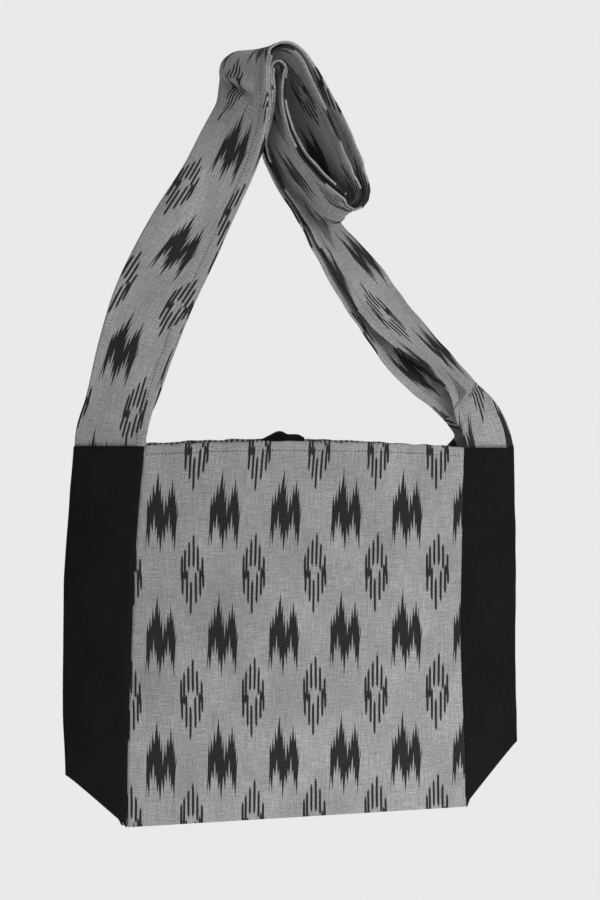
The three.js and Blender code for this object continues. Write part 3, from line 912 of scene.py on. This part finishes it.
def bottom_panel(name):
    """The base, folded up inside the bag as an inverted V."""
    edge = float(body["half"](1)) - TUCK_INSET
    ends = []
    for side, out in (("left", -1), ("right", 1)):
        inward = np.array([-out * CORNER_SET, 0, 0])
        low = BASE[side] + PANEL_CLOTH / 2
        ends.append([
            np.array([float(body["seam_" + side](1)), -edge, low]) + inward,
            tuck_end(side, -1) + inward,
            tuck_end(side, 1) + inward,
            np.array([float(back_seam(side, 1)), edge, low]) + inward,
        ])
    rows = []
    for u in np.linspace(0, 1, TUCK_ROWS):
        front, ridge, far_ridge, back = (lerp(ends[0][k], ends[1][k], u) for k in range(4))
        near_wall = [lerp(front, ridge, t) for t in TUCK_SHARES]
        far_wall = [lerp(back, far_ridge, t) for t in TUCK_SHARES[::-1]]
        rows.append(near_wall + far_wall)
    grid = soften(np.array(rows), SOFTENING)
    across, along = grid[..., 0] - FRONT_MOTIF[0], lengths(grid[0]) + TUCK_MOTIF
    uv = np.stack(np.broadcast_arrays(across, along[None, :]), axis=-1)
    return cloth_shell(name, grid, np.full(grid.shape[:2], PANEL_CLOTH), uv, ikat)


bottom_cloth = bottom_panel("bottom_panel_cloth")

STRAP_ROWS = 420
LAYER_COLUMNS = 20
LAYER_SHARES = np.linspace(1, 0, LAYER_COLUMNS)
FOLD_TURNS = np.radians([72, 45, 18])
TANGENT_REACH = 2

# Soft folds of the strap's two legs, which fade towards the crown and towards the gussets
STRAP_BOW = 0.9
STRAP_SWING = {"depth": 1.1, "long": 95, "wide": 60}
STRAP_FLUTTER = {"depth": 0.6, "long": 34, "wide": 50}
LEG = {"top": 40, "fade": 90, "seat": 60}


def strap_sections():
    """Places, directions and layers of the folded band at even steps along it."""
    table = {key: column(STRAP_COLUMNS, STRAP, key) for key in STRAP_COLUMNS}
    places = lengths(points(table["x"], table["y"], table["z"]))
    read = {key: reader(places, table[key]) for key in STRAP_COLUMNS}
    length = places[-1]
    s = np.linspace(0, length, STRAP_ROWS)
    middle = lambda at: points(read["x"](at), read["y"](at), read["z"](at))
    ahead, behind = np.minimum(s + TANGENT_REACH, length), np.maximum(s - TANGENT_REACH, 0)
    along = unit(middle(ahead) - middle(behind))
    upright = points(0 * s, 0 * s, np.where(s < length / 2, 1.0, -1.0))
    seated = 1 - smoothstep(np.minimum(s, length - s) / STRAP_SEAT)
    along = unit(lerp(along, upright, seated[:, None]))
    hem, lift = np.radians(read["hem"](s)), np.radians(read["lift"](s))
    width = points(np.cos(hem) * np.cos(lift), np.sin(hem) * np.cos(lift), np.sin(lift))
    width = unit(width - along * np.sum(width * along, axis=1, keepdims=True))
    face = np.cross(width, along)
    fold = middle(s) - width * STRAP_HALF
    return s, length, middle(s), fold, width, face, read["front"](s), read["back"](s), read["gap"](s)


def strap(name, seed):
    """The folded band with its two layers, their soft folds and pinches, and the stitching of its hems."""
    s, length, middle, fold, width, face, front, back, gap = strap_sections()
    from_end = np.minimum(s, length - s)
    legs = smoothstep((-middle[:, 2] - LEG["top"]) / LEG["fade"]) * smoothstep(from_end / LEG["seat"])
    legs = legs[:, None]
    reaches, sides, spans = [], [], []
    for span, sign in ((front, 1), (back, -1)):
        reach = FOLD_REACH + (span[:, None] - FOLD_REACH) * LAYER_SHARES
        apart = lerp(FOLD_HALF_GAP, gap[:, None] / 2, LAYER_SHARES)
        bow = STRAP_BOW * np.sin(math.pi * LAYER_SHARES) * legs
        turn = FOLD_REACH * (1 - np.sin(FOLD_TURNS)) * np.ones((len(s), 1))
        cap = FOLD_HALF_GAP * np.cos(FOLD_TURNS) * np.ones((len(s), 1))
        layer_reach = np.concatenate([reach, turn[:, ::-1]], axis=1)
        layer_apart = sign * np.concatenate([apart + bow, cap[:, ::-1]], axis=1)
        reaches.append(layer_reach)
        sides.append(layer_apart)
        spans.append(sign * layer_reach)
    fold_line = np.zeros((len(s), 1))
    join = lambda pair: np.concatenate([pair[0], fold_line, pair[1][:, ::-1]], axis=1)
    reach, apart, across = join(reaches), join(sides), join(spans)
    from_fold = np.abs(across)
    station = np.broadcast_to(lengths(middle)[:, None], reach.shape)
    for turn, soft in enumerate((STRAP_SWING, STRAP_FLUTTER)):
        swing = soft_noise(station / soft["long"], from_fold / soft["wide"], seed + turn)
        apart = apart + soft["depth"] * swing * legs
    for row in PINCHES:
        pinch = dict(zip(PINCH_COLUMNS, row))
        share = np.clip(from_fold / pinch["reach"], 0, 1)
        off = (station - lerp(pinch["fold_station"], pinch["far_station"], share)) / pinch["wide"]
        fade = np.sin(math.pi * share) ** PINCH_FADE
        lip = PINCH_LIP["depth"] * np.exp(-((off - PINCH_LIP["place"]) / PINCH_LIP["wide"]) ** 2)
        apart = apart - pinch["depth"] * fade * (np.exp(-off ** 2) - lip)
    grid = fold[:, None] + width[:, None] * reach[..., None] + face[:, None] * apart[..., None]
    layer = np.where(across > 0, front[:, None], back[:, None])
    hem_share = smoothstep((layer - from_fold - HEM_DEPTH) / HEM_STEP)
    thickness = lerp(STRAP_HEM_CLOTH, STRAP_CLOTH, hem_share)
    slanted = station - WANDER_SLANT * from_fold
    stations = column(WANDER_COLUMNS, WANDER, "station")
    shift = {
        key: np.interp(slanted, stations, column(WANDER_COLUMNS, WANDER, key))
        for key in WANDER_COLUMNS[1:]
    }
    gathered = across * lerp(1, 2 * STRAP_HALF / layer, shift["gather"])
    across_cloth = gathered + shift["across"] - STRAP_MOTIF[0]
    along_cloth = station + shift["along"] - STRAP_MOTIF[1]
    piece = cloth_shell(name, grid, thickness, np.stack([across_cloth, along_cloth], axis=-1), ikat)
    normal = grid_normals(grid)
    lift = (STRAP_CLOTH + STITCH_CLEAR) / 2
    marks = []
    for columns, wide in ((slice(0, LAYER_COLUMNS), front), (slice(-LAYER_COLUMNS, None), back)):
        stitch_line = wide - HEM_DEPTH + STITCH_ABOVE
        share = np.clip((stitch_line - FOLD_REACH) / (wide - FOLD_REACH), 0, 1)
        order = np.argsort(from_fold[0, columns])
        level = LAYER_SHARES[::-1]
        pick = lambda values: np.stack([
            [np.interp(share[i], level, values[i, columns][order][:, k]) for k in range(3)]
            for i in range(len(s))
        ])
        path, up = pick(grid), unit(pick(normal))
        marks += topstitch(path + up * lift, up) + topstitch(path - up * lift, -up)
    return piece, marks, length


strap_cloth, strap_marks, strap_length = strap("shoulder_strap_cloth", 91)


def closure_tab(name):
    """A black tab sewn inside the back hem, over its crest and down into the mouth."""
    places = column(TAB_COLUMNS, TAB, "x")
    crest = reader(places, column(TAB_COLUMNS, TAB, "crest"))
    left, right = float(back_seam("left", 0)), float(back_seam("right", 0))

    def seat(x, z):
        u = (x - left) / (right - left)
        top = wall_height(u, 0, MOUTH["back_rise"])
        fall = np.maximum(0, (top - z) / (top - wall_height(u, 1, 0)))
        inside = HEM_CLOTH / 2 + PANEL_CLOTH / 2 + SEAM_GAP + TAB_CLEAR
        return float(body["half"](fall) + body["belly"](fall) * bulge(u) - inside)

    rows = []
    for x in np.linspace(places[0], places[-1], TAB_ROWS):
        shoulder = float(crest(x)) - TAB_CREST
        y = seat(x, shoulder)
        sewn = np.linspace(TAB_SEWN_Z, shoulder - TAB_LEAD["sewn"], TAB_STEPS["sewn"])
        over = np.radians(np.linspace(0, 180, TAB_STEPS["crest"]))
        free = np.linspace(shoulder - TAB_LEAD["free"], TAB_FREE_Z, TAB_STEPS["free"])
        row = [(x, seat(x, z), z) for z in sewn]
        row += [(x, y - TAB_DEPTH * (1 - math.cos(a)) / 2, shoulder + TAB_CREST * math.sin(a)) for a in over]
        row += [(x, y - TAB_DEPTH, z) for z in free]
        rows.append(row)
    grid = np.array(rows, dtype=float)
    run = lengths(grid[TAB_ROWS // 2])
    uv = np.stack(np.broadcast_arrays(grid[..., 0], run[None, :]), axis=-1)
    return cloth_shell(name, grid, np.full(grid.shape[:2], PANEL_CLOTH), uv, black)


tab_cloth = closure_tab("closure_tab_cloth")

panel_stitches = stitches("hem_stitches", front_marks + back_marks, thread)
strap_stitches = stitches("strap_stitches", strap_marks, thread)

IKAT_PIECES = [
    (front_cloth, "front_panel"),
    (back_cloth, "back_panel"),
    (bottom_cloth, "bottom_panel"),
    (strap_cloth, "shoulder_strap"),
]
BLACK_PIECES = [
    (left_cloth, "gusset_left"),
    (right_cloth, "gusset_right"),
    (tab_cloth, "closure_tab"),
]
for slot, group in (("ikat_cotton", IKAT_PIECES), ("black_cotton", BLACK_PIECES)):
    for piece, node in group:
        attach(piece, "root")
        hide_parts(node)
for piece in (panel_stitches, strap_stitches):
    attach(piece, "root")

# Plain pale floor below, a soft key light from the lower right, a side light on the strap's right leg,
# a fill from behind and a pale surround
FLOOR_LEVEL = -2.1
FLOOR_RADIUS = 4
FLOOR_SIDES = 96
FLOOR_COLOUR = (0.8, 0.8, 0.8, 1)
SURROUND_COLOUR = (1, 1, 1, 1)
SURROUND = 0.82

bpy.ops.mesh.primitive_circle_add(
    vertices=FLOOR_SIDES, radius=FLOOR_RADIUS, fill_type="NGON", location=(0, 0, FLOOR_LEVEL))
floor = bpy.context.object
floor.name = "floor"
floor_shader = Shader("floor")
floor_shader.surface.inputs["Base Color"].default_value = FLOOR_COLOUR
floor_shader.surface.inputs["Roughness"].default_value = 0.9
floor.data.materials.append(floor_shader.material)


def area_light(name, place, target, size, power):
    data = bpy.data.lights.new(name, "AREA")
    data.shape = "SQUARE"
    data.size = size
    data.energy = power
    lamp = bpy.data.objects.new(name, data)
    lamp.location = place
    lamp.rotation_euler = (Vector(target) - Vector(place)).to_track_quat("-Z", "Y").to_euler()
    bpy.context.scene.collection.objects.link(lamp)


area_light("key", place=(0.34, -0.64, -1.2), target=(0.06, 0, -0.5), size=0.6, power=13.5)
area_light("side", place=(0.42, -0.55, 0.06), target=(0.13, 0, -0.26), size=0.35, power=5.0)
area_light("fill", place=(-1.4, 2.2, 0.5), target=(0.03, 0, -0.45), size=1.6, power=30)

world = bpy.data.worlds.new("surround")
world.use_nodes = True
background = world.node_tree.nodes["Background"]
background.inputs[0].default_value = SURROUND_COLOUR
background.inputs[1].default_value = SURROUND
bpy.context.scene.world = world
bpy.context.scene.view_settings.view_transform = "Standard"
